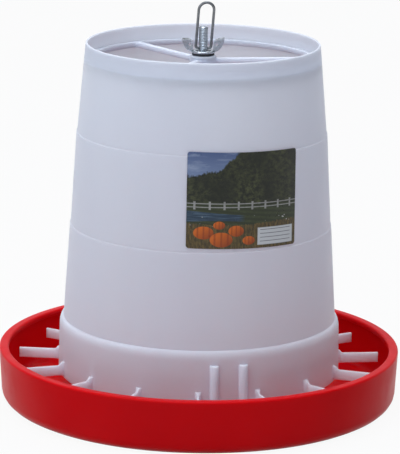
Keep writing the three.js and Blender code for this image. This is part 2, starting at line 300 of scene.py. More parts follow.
def edgeWearGroup():  # rubbed and lightened corners, broken up by noise
    wear = {"unbent": 0.995, "bent": 0.8, "samples": 6}
    group, start, end = startGroup("edgeWear", {"width": 0.0008, "breakup": 300.0}, ("mask",))
    rounded = nodeWith(group, "ShaderNodeBevel", samples=wear["samples"])
    group.links.new(start["width"], rounded.inputs["Radius"])
    flat = nodeWith(group, "ShaderNodeNewGeometry").outputs["Normal"]
    bend = spread(group, alignment(group, rounded.outputs[0], flat), wear["unbent"], wear["bent"])
    chips = noiseAt(group, placeOn(group), start["breakup"], detail=4.0, roughness=0.6)
    group.links.new(times(group, bend, spread(group, chips, 0.35, 0.62), clamp=True), end["mask"])
    return group


def feedDustGroup():  # pale meal that settles on level faces and in the lower corners
    dust = {"speckScale": 260.0, "filmScale": 28.0, "steep": 0.55, "level": 0.95}
    group, start, end = startGroup("feedDust", {"top": 0.05, "reach": 0.03}, ("mask",))
    normal = nodeWith(group, "ShaderNodeNewGeometry").outputs["Normal"]
    level = spread(group, partsOf(group, normal)["Z"], dust["steep"], dust["level"])
    place = placeOn(group)
    above = reckon(group, "ADD", start["top"], start["reach"])
    low = spread(group, partsOf(group, place)["Z"], start["top"], above, 1.0, 0.0, smooth=True)
    specks = spread(group, noiseAt(group, place, dust["speckScale"], 5.0, 0.65), 0.46, 0.7)
    film = spread(group, noiseAt(group, place, dust["filmScale"], 3.0), 0.4, 0.75)
    cover = times(group, level, times(group, specks, film))
    group.links.new(times(group, cover, low, clamp=True), end["mask"])
    return group


def scuffGroup():  # hairline rubs that change the gloss
    rub = {"level": (1, 1, 14), "upright": (12, 1, 1), "whereScale": 22.0}
    group, start, end = startGroup("scuffs", {"size": 90.0}, ("mask",))
    place = placeOn(group)
    first = noiseAt(group, stretched(group, place, rub["level"]), start["size"], 3.0, 0.7)
    second = noiseAt(group, stretched(group, place, rub["upright"]), start["size"], 3.0, 0.7)
    lines = reckon(group, "MAXIMUM", spread(group, first, 0.6, 0.74), spread(group, second, 0.62, 0.76))
    where = spread(group, noiseAt(group, place, rub["whereScale"]), 0.42, 0.66)
    group.links.new(times(group, lines, where, clamp=True), end["mask"])
    return group


mouldedSkin = mouldedSkinGroup()
edgeWear = edgeWearGroup()
feedDust = feedDustGroup()
scuffs = scuffGroup()
print("shared effects ready")


# Finishes: roughness varies over roughRange, and bump is its strength and its depth in metres

def redPanFinish():
    look = {"colour": (0.61, 0.0029, 0.0060), "deep": (0.55, 0.0023, 0.0050), "worn": (0.66, 0.030, 0.045),
            "dust": (0.55, 0.42, 0.28), "wearShare": 0.5, "dustShare": 0.2, "roughness": 0.36,
            "roughRange": (0.31, 0.41), "rubbed": 0.12, "dusty": 0.3, "bump": (0.25, 0.0006)}
    material, tree, shader = startMaterial("redPolypropylene", look["colour"], look["roughness"], {
        "Specular IOR Level": 0.06, "Subsurface Weight": 0.7, "Subsurface Radius": (1.0, 0.02, 0.03),
        "Subsurface Scale": 0.010})
    skin = useGroup(tree, mouldedSkin, grain=1500.0, wave=14.0)
    wear = useGroup(tree, edgeWear, width=0.0011, breakup=220.0)["mask"]
    rubs = useGroup(tree, scuffs, size=70.0)["mask"]
    meal = useGroup(tree, feedDust, top=0.004, reach=0.02)["mask"]
    colour = blendColours(tree, skin["tone"], look["deep"], look["colour"])
    colour = blendColours(tree, times(tree, wear, look["wearShare"]), colour, look["worn"])
    colour = blendColours(tree, times(tree, meal, look["dustShare"]), colour, look["dust"])
    gloss = spread(tree, skin["patch"], 0.0, 1.0, *look["roughRange"])
    gloss = reckon(tree, "ADD", gloss, times(tree, rubs, look["rubbed"]))
    gloss = reckon(tree, "ADD", gloss, times(tree, meal, look["dusty"]))
    dress(tree, shader, colour, gloss, skin["height"], look["bump"])
    return material


def whiteHopperFinish():
    # the rim colour is a painted shade over the band at the mouth, and the inside colour is painted light
    # on the inner wall
    look = {"colour": (0.75, 0.80, 0.94), "shade": (0.72, 0.765, 0.905), "worn": (0.88, 0.91, 0.97),
            "inside": (0.83, 0.85, 0.94), "rim": (0.595, 0.63, 0.71), "rimShadeFoot": 0.3045, "rimShadeFull": 0.3085,
            "rimShadeInside": 0.5, "wearShare": 0.5, "roughness": 0.42, "roughRange": (0.37, 0.48),
            "rubbed": 0.1, "bump": (0.3, 0.0008)}
    material, tree, shader = startMaterial("whitePolyethylene", look["colour"], look["roughness"], {
        "Specular IOR Level": 0.06, "Subsurface Weight": 1.0, "Subsurface Radius": (1.0, 0.95, 0.95),
        "Subsurface Scale": 0.0105})
    skin = useGroup(tree, mouldedSkin, grain=1200.0, wave=11.0)
    wear = useGroup(tree, edgeWear, width=0.0008, breakup=260.0)["mask"]
    rubs = useGroup(tree, scuffs, size=60.0)["mask"]
    colour = blendColours(tree, skin["tone"], look["shade"], look["colour"])
    inner = nodeWith(tree, "ShaderNodeAttribute", attribute_name="innerWall").outputs["Fac"]
    colour = blendColours(tree, inner, colour, look["inside"])  # painted light: the inner wall is lighter, standing in for light that comes through the thin wall
    rim = spread(tree, partsOf(tree, placeOn(tree))["Z"], look["rimShadeFoot"], look["rimShadeFull"], smooth=True)
    rim = times(tree, rim, reckon(tree, "SUBTRACT", 1.0, times(tree, inner, look["rimShadeInside"])))
    colour = blendColours(tree, rim, colour, look["rim"])  # painted shade: the band at the mouth is darker, half as much on the inner wall
    colour = blendColours(tree, times(tree, wear, look["wearShare"]), colour, look["worn"])
    gloss = spread(tree, skin["patch"], 0.0, 1.0, *look["roughRange"])
    gloss = reckon(tree, "ADD", gloss, times(tree, rubs, look["rubbed"]))
    dress(tree, shader, colour, gloss, skin["height"], look["bump"])
    return material


def zincFinish(name, colour, roughness, edgeShare=0.6):  # edgeShare: how far rubbed edges brighten
    look = {"dull": 0.72, "bright": 1.35, "smoother": 0.07, "rougher": 0.09, "rubbed": 0.15,
            "bump": (0.2, 0.0001)}
    material, tree, shader = startMaterial(name, colour, roughness, {"Metallic": 1.0})
    skin = useGroup(tree, mouldedSkin, grain=2600.0, wave=180.0)
    wear = useGroup(tree, edgeWear, width=0.0005, breakup=700.0)["mask"]
    rubs = useGroup(tree, scuffs, size=320.0)["mask"]
    dull = tuple(share * look["dull"] for share in colour)
    bright = tuple(min(1.0, share * look["bright"]) for share in colour)
    tint = blendColours(tree, skin["patch"], dull, colour)
    tint = blendColours(tree, times(tree, wear, edgeShare), tint, bright)
    gloss = spread(tree, skin["tone"], 0.0, 1.0, roughness - look["smoother"], roughness + look["rougher"])
    gloss = reckon(tree, "ADD", gloss, times(tree, rubs, look["rubbed"]))
    dress(tree, shader, tint, gloss, skin["height"], look["bump"])
    return material


def rubberFinish():
    look = {"colour": (0.014, 0.014, 0.017), "dusty": (0.045, 0.044, 0.046), "roughness": 0.78,
            "roughRange": (0.68, 0.88), "bump": (0.5, 0.0002)}
    material, tree, shader = startMaterial("blackRubber", look["colour"], look["roughness"])
    skin = useGroup(tree, mouldedSkin, grain=3200.0, wave=240.0)
    wear = useGroup(tree, edgeWear, width=0.0005, breakup=900.0)["mask"]
    colour = blendColours(tree, skin["patch"], look["colour"], look["dusty"])
    colour = blendColours(tree, wear, colour, look["dusty"])
    gloss = spread(tree, skin["tone"], 0.0, 1.0, *look["roughRange"])
    dress(tree, shader, colour, gloss, skin["height"], look["bump"])
    return material


def labelFinish():  # a made-up harvest print, drawn over the label's own map from corner to corner
    look = {"sky": (0.075, 0.115, 0.24), "skyLow": (0.20, 0.26, 0.40), "cloud": (0.34, 0.40, 0.52),
            "wood": (0.006, 0.009, 0.004), "woodLight": (0.075, 0.082, 0.030),
            "meadow": (0.050, 0.062, 0.024), "furrow": (0.024, 0.032, 0.013),
            "pond": (0.020, 0.042, 0.070), "glint": (0.10, 0.16, 0.22), "rail": (0.36, 0.35, 0.33),
            "earth": (0.050, 0.036, 0.014), "stubble": (0.16, 0.105, 0.030),
            "pumpkin": (0.62, 0.13, 0.012), "pumpkinDark": (0.20, 0.028, 0.005),
            "stalk": (0.05, 0.06, 0.015), "daisy": (0.55, 0.54, 0.50), "panel": (0.60, 0.61, 0.61),
            "line": (0.10, 0.10, 0.11), "wearShare": 0.25, "roughness": 0.32, "roughRange": (0.27, 0.38),
            "bump": (0.25, 0.0003)}
    # places and sizes on the print are shares of its width and height; a hill line is given by its
    # level, swing, waves and shift
    hills = {"meadow": (0.47, 0.02, 5.4, 0.4), "shore": (0.375, 0.025, 4.0, 2.2),
             "bank": (0.275, 0.020, 5.0, 0.2), "field": (0.235, 0.02, 4.6, 3.0)}
    fence = {"posts": 8.0, "postShare": 0.07, "foot": 0.405, "top": 0.492, "rails": (0.425, 0.462),
             "railHeight": 0.013}
    pumpkins = ((0.27, 0.245, 0.052, 0.042), (0.14, 0.165, 0.085, 0.068), (0.42, 0.185, 0.070, 0.058),
                (0.29, 0.095, 0.100, 0.078), (0.535, 0.085, 0.058, 0.046))  # middle, foot, width, height
    note = {"panel": (0.615, 0.972, 0.03, 0.215), "left": 0.64, "right": 0.947,
            "lines": (0.065, 0.105, 0.145, 0.185), "lineHeight": 0.009}
    material, tree, shader = startMaterial("printedFilm", look["wood"], look["roughness"], {
        "Coat Weight": 0.15, "Coat Roughness": 0.2, "Specular IOR Level": 0.3})
    place = placeOn(tree, "UV")
    across, up = partsOf(tree, place)["X"], partsOf(tree, place)["Y"]

    def below(line, softness=0.006):  # 1 under a line across the label
        return spread(tree, reckon(tree, "SUBTRACT", line, up), 0.0, softness)

    def rolling(level, swing, waves, shift):
        wave = reckon(tree, "SINE", reckon(tree, "MULTIPLY_ADD", across, waves, shift))
        return reckon(tree, "MULTIPLY_ADD", wave, swing, level)

    def inside(left, right, low, high, softness=0.006):  # 1 within a rectangle
        sides = times(tree, spread(tree, across, left, left + softness),
                      spread(tree, across, right, right - softness))
        ends = times(tree, spread(tree, up, low, low + softness), spread(tree, up, high, high - softness))
        return times(tree, sides, ends)

    # sky and woods
    picture = blendColours(tree, spread(tree, up, 0.7, 1.0), look["skyLow"], look["sky"])
    drift = noiseAt(tree, stretched(tree, place, (2.2, 7.0, 1)), 1.6, 5.0, 0.55)
    picture = blendColours(tree, spread(tree, drift, 0.50, 0.74), picture, look["cloud"])
    slope = spread(tree, across, 0.12, 0.62, 0.64, 0.98, smooth=True)
    treetops = noiseAt(tree, stretched(tree, place, (8.0, 3.0, 1)), 1.0, 4.0, 0.65)
    crowns = reckon(tree, "MULTIPLY_ADD", treetops, 0.26, slope)
    leaves = noiseAt(tree, place, 22.0, 6.0, 0.72)
    shade = noiseAt(tree, stretched(tree, place, (3.0, 2.0, 1)), 1.3)
    lit = times(tree, spread(tree, leaves, 0.42, 0.66), spread(tree, shade, 0.36, 0.62, 0.12, 1.0))
    woods = blendColours(tree, lit, look["wood"], look["woodLight"])
    picture = blendColours(tree, below(crowns, 0.02), picture, woods)

    # meadow with a pond and a rail fence
    rows = reckon(tree, "SINE", reckon(tree, "MULTIPLY_ADD", up, 130.0, times(tree, across, 16.0)))
    tufts = times(tree, spread(tree, rows, -0.8, 0.9), spread(tree, leaves, 0.3, 0.65))
    meadow = blendColours(tree, tufts, look["furrow"], look["meadow"])
    picture = blendColours(tree, below(rolling(*hills["meadow"]), 0.01), picture, meadow)
    ripple = spread(tree, noiseAt(tree, stretched(tree, place, (4.0, 60.0, 1)), 1.0, 3.0, 0.6), 0.50, 0.72)
    water = blendColours(tree, ripple, look["pond"], look["glint"])
    beyond = reckon(tree, "SUBTRACT", 1.0, below(rolling(*hills["bank"])))
    pond = times(tree, below(rolling(*hills["shore"])), beyond)
    picture = blendColours(tree, times(tree, pond, spread(tree, across, 0.50, 0.44)), picture, water)
    posts = reckon(tree, "FRACT", times(tree, across, fence["posts"]))
    posts = reckon(tree, "COMPARE", posts, 0.5, fence["postShare"])
    timber = times(tree, posts, inside(0.0, 1.0, fence["foot"], fence["top"], 0.002))
    for low in fence["rails"]:
        timber = reckon(tree, "MAXIMUM", timber, inside(-0.1, 1.1, low, low + fence["railHeight"], 0.003))
    weathered = times(tree, timber, spread(tree, leaves, 0.25, 0.6, 0.45, 0.95))
    picture = blendColours(tree, weathered, picture, look["rail"])

    # stubble, daisies and pumpkins
    stalks = noiseAt(tree, stretched(tree, place, (60.0, 14.0, 1)), 1.0, 4.0, 0.65)
    field = blendColours(tree, spread(tree, stalks, 0.42, 0.66), look["earth"], look["stubble"])
    fieldEdge = reckon(tree, "MULTIPLY_ADD", stalks, 0.06, rolling(*hills["field"]))
    picture = blendColours(tree, below(fieldEdge), picture, field)
    cells = nodeWith(tree, "ShaderNodeTexVoronoi", feature="F1")
    tree.links.new(place, cells.inputs["Vector"])
    cells.inputs["Scale"].default_value = 24.0
    heads = times(tree, spread(tree, cells.outputs["Distance"], 0.17, 0.12), inside(0.0, 1.0, 0.05, 0.36))
    heads = times(tree, heads, spread(tree, shade, 0.48, 0.56))
    picture = blendColours(tree, heads, picture, look["daisy"])
    for middle, foot, wide, tall in pumpkins:
        aside = reckon(tree, "DIVIDE", reckon(tree, "SUBTRACT", across, middle), wide)
        above = reckon(tree, "DIVIDE", reckon(tree, "SUBTRACT", up, foot), tall)
        reach = reckon(tree, "ADD", times(tree, aside, aside), times(tree, above, above))
        stem = inside(middle - 0.008, middle + 0.008, foot + tall * 0.8, foot + tall * 1.35, 0.004)
        picture = blendColours(tree, stem, picture, look["stalk"])
        ribs = reckon(tree, "ABSOLUTE", reckon(tree, "SINE", times(tree, aside, 5.5)))
        slant = spread(tree, reckon(tree, "SUBTRACT", aside, above), -0.9, 1.3, 1.0, 0.2)
        light = times(tree, spread(tree, ribs, 0.05, 0.7, 0.35, 1.0), slant)
        skin = blendColours(tree, light, look["pumpkinDark"], look["pumpkin"])
        picture = blendColours(tree, spread(tree, reach, 1.0, 0.93), picture, skin)

    # a plain panel with ruled lines for a written note
    picture = blendColours(tree, inside(*note["panel"]), picture, look["panel"])
    for low in note["lines"]:
        ruled = inside(note["left"], note["right"], low, low + note["lineHeight"], 0.003)
        picture = blendColours(tree, ruled, picture, look["line"])
    wear = useGroup(tree, edgeWear, width=0.0004, breakup=500.0)["mask"]
    picture = blendColours(tree, times(tree, wear, look["wearShare"]), picture, look["panel"])
    film = useGroup(tree, mouldedSkin, grain=1800.0, wave=60.0)
    gloss = spread(tree, film["patch"], 0.0, 1.0, *look["roughRange"])
    dress(tree, shader, picture, gloss, film["height"], look["bump"])
    return material


redPan = redPanFinish()
whiteHopper = whiteHopperFinish()
zincPlate = zincFinish("zincPlate", (0.62, 0.665, 0.70), 0.22)
rodZinc = zincFinish("rodZinc", (0.52, 0.575, 0.62), 0.28, 0.15)
dullZinc = zincFinish("dullZinc", (0.46, 0.49, 0.52), 0.36)
bailWire = zincFinish("springWire", (0.24, 0.25, 0.26), 0.32)
blackRubber = rubberFinish()
labelFilm = labelFinish()
print("finishes ready")


# Feed pan: one red moulding with a rolled lip and a feed cone

def makeFeedPan():
    pan = {"rim": 178.0, "height": 48.0, "foot": 175.4, "footRound": 10.0, "lip": 169.6, "lipRound": 1.9,
           "lipFoot": 43.0, "lipInner": 172.0, "lipHollow": 45.6, "wallTop": 174.8, "wallFoot": 172.4,
           "floor": 3.0, "coneFoot": 92.0, "coneTop": 17.0, "coneHeight": 58.0, "hollowFoot": 86.93,
           "hollowTop": 14.46, "hollowHeight": 55.0, "seat": 9.6, "seatFloor": 9.4, "seatHeight": 57.7,
           "steps": 224}
    outline = [
        (pan["hollowFoot"], 0, 0.8), (pan["foot"], 0, pan["footRound"]),
        (pan["rim"], pan["height"], pan["lipRound"]), (pan["lip"], pan["height"], pan["lipRound"]),
        (pan["lip"], pan["lipFoot"], 0.7), (pan["lipInner"], pan["lipFoot"], 0.7),
        (pan["lipInner"], pan["lipHollow"], 0.8), (pan["wallTop"], pan["lipHollow"], 1.0),
        (pan["wallFoot"], pan["floor"], 7.0), (pan["coneFoot"], pan["floor"], 8.0),
        (pan["coneTop"], pan["coneHeight"], 2.0), (pan["seat"], pan["coneHeight"], 0.3),
        (pan["seatFloor"], pan["seatHeight"], 0.1), (clearBore, pan["seatHeight"], 0.3),
        (clearBore, pan["hollowHeight"], 0.3), (pan["hollowTop"], pan["hollowHeight"], 1.4),
    ]
    bm = revolve(outline, pan["steps"])
    makePiece("feedPanMoulding", bm, "feed_pan", redPan, ["feed_pan"])


makeFeedPan()
print("feed pan made")


# Hopper: tapered tube in three bands, shoulder, skirt, fins and ribs

hopper = {"foot": 26.0, "skirtFoot": 125.2, "skirtTop": 124.4, "skirtEnd": 67.0, "tubeFoot": 120.8,
          "tubeStart": 76.0, "middleBand": 114.8, "middleStart": 160.6, "upperBand": 109.4,
          "upperStart": 242.8, "rim": 102.4, "top": 320.5, "wall": 2.0, "ledge": 0.7, "ledgeDrop": 0.8,
          "shoulderSteps": 8, "steps": 224}


def hopperShell():
    wall, ledge, drop = hopper["wall"], hopper["ledge"], hopper["ledgeDrop"]
    inset, rise = hopper["skirtTop"] - hopper["tubeFoot"], hopper["tubeStart"] - hopper["skirtEnd"]
    shoulder = []
    for step in range(hopper["shoulderSteps"]):
        angle = fullTurn / 4 * step / hopper["shoulderSteps"]
        shoulder.append((hopper["tubeFoot"] + inset * math.cos(angle),
                         hopper["skirtEnd"] + rise * math.sin(angle), 0))
    outline = [
        (hopper["skirtFoot"] - wall, hopper["foot"], 0.5), (hopper["skirtFoot"], hopper["foot"], 0.5),
        *shoulder, (hopper["tubeFoot"], hopper["tubeStart"], 0.3),
        (hopper["middleBand"] + ledge, hopper["middleStart"] - drop, 0.25),
        (hopper["middleBand"], hopper["middleStart"], 0.25),
        (hopper["upperBand"] + ledge, hopper["upperStart"] - drop, 0.25),
        (hopper["upperBand"], hopper["upperStart"], 0.25),
        (hopper["rim"], hopper["top"], 0.85), (hopper["rim"] - wall, hopper["top"], 0.85),
        (hopper["upperBand"] - wall, hopper["upperStart"], 0.4),
        (hopper["upperBand"] + ledge - wall, hopper["upperStart"] - drop, 0.4),
        (hopper["middleBand"] - wall, hopper["middleStart"], 0.4),
        (hopper["middleBand"] + ledge - wall, hopper["middleStart"] - drop, 0.4),
        (hopper["tubeFoot"] - wall, hopper["tubeStart"] - wall, 0.3),
        *((radius - wall, height - wall, 0) for radius, height, rounding in reversed(shoulder)),
    ]
    return revolve(outline, hopper["steps"])


def skirtFin():  # a flat blade with square corners, a sloped web and a fillet at its root
    fin = {"tip": 162.4, "rise": 2.3, "height": 9.0, "thickness": 2.0, "root": 124.2, "edge": 0.3,
           "webRise": 3.4, "webRun": 4.4, "kneeRise": 2.9, "kneeRun": 2.1, "webSunk": 0.3,
           "flare": 1.7, "flareReach": 4.8, "flareSunk": 0.4, "flareMost": 1.2,
           "flareSteps": (0.8, 1.6, 2.5, 3.5, 4.6)}
    skirt = hopper["skirtFoot"]
    foot = hopper["foot"] + fin["rise"]
    top = foot + fin["height"]
    outline = [(fin["root"], foot, 0), (fin["tip"], foot, 0), (fin["tip"], top, 0.4),
               (skirt + fin["webRun"], top, 1.2), (skirt + fin["kneeRun"], top + fin["kneeRise"], 1.4),
               (skirt - fin["webSunk"], top + fin["webRise"], 0.5),
               (fin["root"] - fin["webSunk"], top + fin["webRise"], 0)]
    bm = plateFrom(outline, fin["thickness"])
    flareStart = skirt - fin["flareSunk"]
    for distance in fin["flareSteps"]:
        sliceAt(bm, (flareStart + distance, 0, 0), (1, 0, 0))
    softenEdges(bm, fin["edge"], 2, 50)
    for vertex in bm.verts:
        near = 1 - (vertex.co.x / mm - flareStart) / fin["flareReach"]
        if near > 0:
            vertex.co.y *= 1 + fin["flare"] * min(near, fin["flareMost"]) ** 2
    return bm


def skirtRib():  # half-round upright rib with a rounded top, which leans in as the skirt does
    rib = {"radius": 3.9, "height": 38.0, "sunk": 1.0, "topRound": 0.9, "segments": 32}
    middle, top = hopper["foot"] + rib["height"] / 2, hopper["foot"] + rib["height"]
    bm = roundBar(rib["radius"], rib["height"], (0, 0, middle), (0, 0, 1), rib["segments"])
    sliceAt(bm, (-rib["sunk"], 0, 0), (1, 0, 0), clear_inner=True)
    closeHoles(bm)
    topEdges = [edge for edge in bm.edges
                if all(vertex.co.z > (top - 0.01) * mm for vertex in edge.verts)
                and len(edge.link_faces) == 2 and edge.calc_face_angle() > 1]
    bevelEdges(bm, topEdges, rib["topRound"], 3)
    lean = (hopper["skirtFoot"] - hopper["skirtTop"]) / (hopper["skirtEnd"] - hopper["foot"])
    for vertex in bm.verts:
        vertex.co.x += (hopper["skirtFoot"] - lean * (vertex.co.z / mm - hopper["foot"])) * mm
    tidyMesh(bm)
    return bm


def makeHopper():
    ring = {"fins": 15, "firstFin": -90, "ribPairs": 3, "firstPair": -78, "ribAside": 5.8}  # in degrees
    bm = hopperShell()
    for index in range(ring["fins"]):
        angle = ring["firstFin"] + index * 360 / ring["fins"]
        bm = combine(bm, turnBy(skirtFin(), angle), "UNION")
    for index in range(ring["ribPairs"]):
        angle = ring["firstPair"] + index * 360 / ring["ribPairs"]
        for side in (-ring["ribAside"], ring["ribAside"]):
            bm = combine(bm, turnBy(skirtRib(), angle + side), "UNION")
    piece = makePiece("hopperMoulding", bm, "hopper", whiteHopper, ["hopper"])
    # this mask places the painted light of the white finish on the inner wall
    inner = piece.data.attributes.new("innerWall", "FLOAT", "POINT")
    for vertex in piece.data.vertices:  # 1 where the wall faces the axis, 0 outside and on edges
        facing = vertex.normal.xy.dot(vertex.co.xy.normalized())
        inner.data[vertex.index].value = min(1.0, max(0.0, -2 * facing - 0.5))


makeHopper()
print("hopper made")


# Hanger spider: ring, three arms and hub

def spiderArm(spider, foot):
    start, end = spider["armStart"], spider["inner"] + spider["armBite"]
    ringSide = spider["inner"] - spider["ringFlare"]
    arm = bmesh.new()
    bmesh.ops.create_cube(arm, size=1)
    bmesh.ops.scale(arm, verts=arm.verts[:],
                    vec=((end - start) * mm, spider["armWidth"] * mm, spider["ringHeight"] * mm))
    bmesh.ops.translate(arm, verts=arm.verts[:],
                        vec=((end + start) / 2 * mm, 0, (foot + spider["ringHeight"] / 2) * mm))
    for near in (*spider["hubSteps"], *(ringSide + step for step in spider["ringSteps"])):
        sliceAt(arm, (near, 0, 0), (1, 0, 0))
    softenEdges(arm, spider["round"], 3, 50)
    for vertex in arm.verts:  # fillets where the arm meets the hub and the ring
        along = vertex.co.x / mm
        flare = max(0, (spider["hubSteps"][-1] - along) / spider["hubFlare"],
                    (along - ringSide) / spider["ringSteps"][-1])
        vertex.co.y *= 1 + spider["flare"] * min(flare, 1.0) ** 2
    return arm


def makeSpider():
    spider = {"ringTop": 307.0, "ringHeight": 5.0, "outerTop": 101.32, "outerFoot": 100.1, "inner": 97.32,
              "round": 0.7, "hub": 11.7, "hubTop": 309.6, "hubFoot": 297.6, "arms": 3, "firstArm": 7.0,
              "armWidth": 4.5, "armStart": 7.75, "armBite": 1.75, "flare": 0.8, "hubFlare": 3.5,
              "hubSteps": (11.0, 12.0, 13.0, 14.5), "ringFlare": 4.3, "ringSteps": (0.0, 1.5, 2.8, 4.0)}
    foot, top, corner = spider["ringTop"] - spider["ringHeight"], spider["ringTop"], spider["round"]
    bm = revolve([(spider["inner"], foot, corner), (spider["outerFoot"], foot, corner),
                  (spider["outerTop"], top, corner), (spider["inner"], top, corner)], 192)
    hub = revolve([(clearBore, spider["hubFoot"], 0.3), (spider["hub"], spider["hubFoot"], 1.0),
                   (spider["hub"], spider["hubTop"], 1.0), (clearBore, spider["hubTop"], 0.3)], 64)
    for index in range(spider["arms"]):
        angle = spider["firstArm"] + index * 360 / spider["arms"]
        bm = combine(bm, turnBy(spiderArm(spider, foot), angle), "UNION")
    bm = combine(bm, hub, "UNION")
    makePiece("hangerSpiderMoulding", bm, "hopper", whiteHopper, ["hanger_spider"])


makeSpider()
print("hanger spider made")


# Hardware: rod, washers, nuts, wing nut and bail

rod = {"crest": 4.0, "root": 3.62, "pitch": 1.411, "tip": 0.8, "plainEnd": 1.5, "plainSlack": 0.2,
       "turnsBelow": 1.5, "spareTurns": 3, "stepsPerTurn": 24, "holeRadius": 1.6, "holeHeight": 315.9,
       "overrun": 1.0}


def makeRod():
    low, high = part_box("centre_rod")
    foot, top = low.z / mm, high.z / mm
    turns = math.ceil((top - foot) / rod["pitch"]) + rod["spareTurns"]
    bm = bmesh.new()
    start = foot - rod["turnsBelow"] * rod["pitch"]
    toothShares = ((rod["root"], 0.0), (rod["root"], 0.16), (rod["crest"], 0.44), (rod["crest"], 0.72),
                   (rod["root"], 1.0))  # radius and share of the pitch
    corners = [bm.verts.new((radius * mm, 0, (start + share * rod["pitch"]) * mm))
               for radius, share in toothShares]
    for corner, following in zip(corners, corners[1:]):
        bm.edges.new((corner, following))
    bmesh.ops.spin(bm, geom=bm.verts[:] + bm.edges[:], cent=(0, 0, 0), axis=(0, 0, 1),
                   dvec=(0, 0, rod["pitch"] / rod["stepsPerTurn"] * mm), angle=fullTurn,
                   steps=rod["stepsPerTurn"], use_merge=False, use_duplicate=False)
    wound = 1
    while wound < turns:  # the wound length is doubled until it is long enough
        copied = bmesh.ops.duplicate(bm, geom=bm.verts[:] + bm.edges[:] + bm.faces[:])["geom"]
        bmesh.ops.translate(bm, verts=onlyKind(copied, bmesh.types.BMVert),
                            vec=(0, 0, wound * rod["pitch"] * mm))
        wound *= 2
    bmesh.ops.remove_doubles(bm, verts=bm.verts[:], dist=0.01 * mm)
    for height, side in ((foot, -1), (top, 1)):
        sliceAt(bm, (0, 0, height), (0, 0, side), clear_outer=True)
        closeHoles(bm)
    for vertex in bm.verts:  # plain turned ends with a chamfer
        depth = min(top - vertex.co.z / mm, vertex.co.z / mm - foot)
        limit = min(rod["crest"], rod["crest"] - rod["tip"] + max(depth, 0)) * mm
        radius = vertex.co.xy.length
        if radius > limit or (depth < rod["plainEnd"] and radius > (rod["root"] - rod["plainSlack"]) * mm):
            vertex.co.x *= limit / radius
            vertex.co.y *= limit / radius
    tidyMesh(bm)
    across = 2 * (rod["crest"] + rod["overrun"])
    hole = roundBar(rod["holeRadius"], across, (0, 0, rod["holeHeight"]), (1, 0, 0), 28)
    bm = combine(bm, hole, "DIFFERENCE")
    makePiece("threadedCentreRod", bm, "feed_pan", rodZinc, ["centre_rod"], 30)


def makeWasher(name, node, body, finish, rounding):
    low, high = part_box(node)
    outer, foot, top = high.x / mm, low.z / mm, high.z / mm
    bm = revolve([(clearBore, foot, rounding), (outer, foot, rounding), (outer, top, rounding),
                  (clearBore, top, rounding)], 72)
    makePiece(name, bm, body, finish, [node])


def makeHexNut(name, node, body):
    nut = {"flats": 13.0, "chamferCircle": 6.1, "slope": 0.58, "boreChamfer": 0.5, "segments": 72}
    low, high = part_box(node)
    foot, top = low.z / mm, high.z / mm
    mouth = clearBore + nut["boreChamfer"]

    def hexRadius(angle):
        turn = math.pi / 3
        return nut["flats"] / 2 / math.cos((angle % turn) - turn / 2)

    def level(end, inward, radius):  # height of the chamfer where it meets a flat
        return end + inward * max(0, radius - nut["chamferCircle"]) * nut["slope"]

    rings = [
        lambda a: (clearBore, foot + nut["boreChamfer"]), lambda a: (mouth, foot),
        lambda a: (nut["chamferCircle"], foot), lambda a: (hexRadius(a), level(foot, 1, hexRadius(a))),
        lambda a: (hexRadius(a), level(top, -1, hexRadius(a))), lambda a: (nut["chamferCircle"], top),
        lambda a: (mouth, top), lambda a: (clearBore, top - nut["boreChamfer"]),
    ]
    bm = bmesh.new()
    bmesh.ops.create_circle(bm, cap_ends=False, radius=clearBore * mm, segments=nut["segments"])
    edges = bm.edges[:]
    first = edges
    for number, ring in enumerate(rings):
        if number:
            grown = bmesh.ops.extrude_edge_only(bm, edges=edges)["geom"]
            edges = onlyKind(grown, bmesh.types.BMEdge)
        for vertex in {vertex for edge in edges for vertex in edge.verts}:
            angle = math.atan2(vertex.co.y, vertex.co.x)
            radius, height = ring(angle)
            vertex.co = (radius * mm * math.cos(angle), radius * mm * math.sin(angle), height * mm)
    bmesh.ops.bridge_loops(bm, edges=first + edges)
    tidyMesh(bm)
    makePiece(name, bm, body, zincPlate, [node], 25)


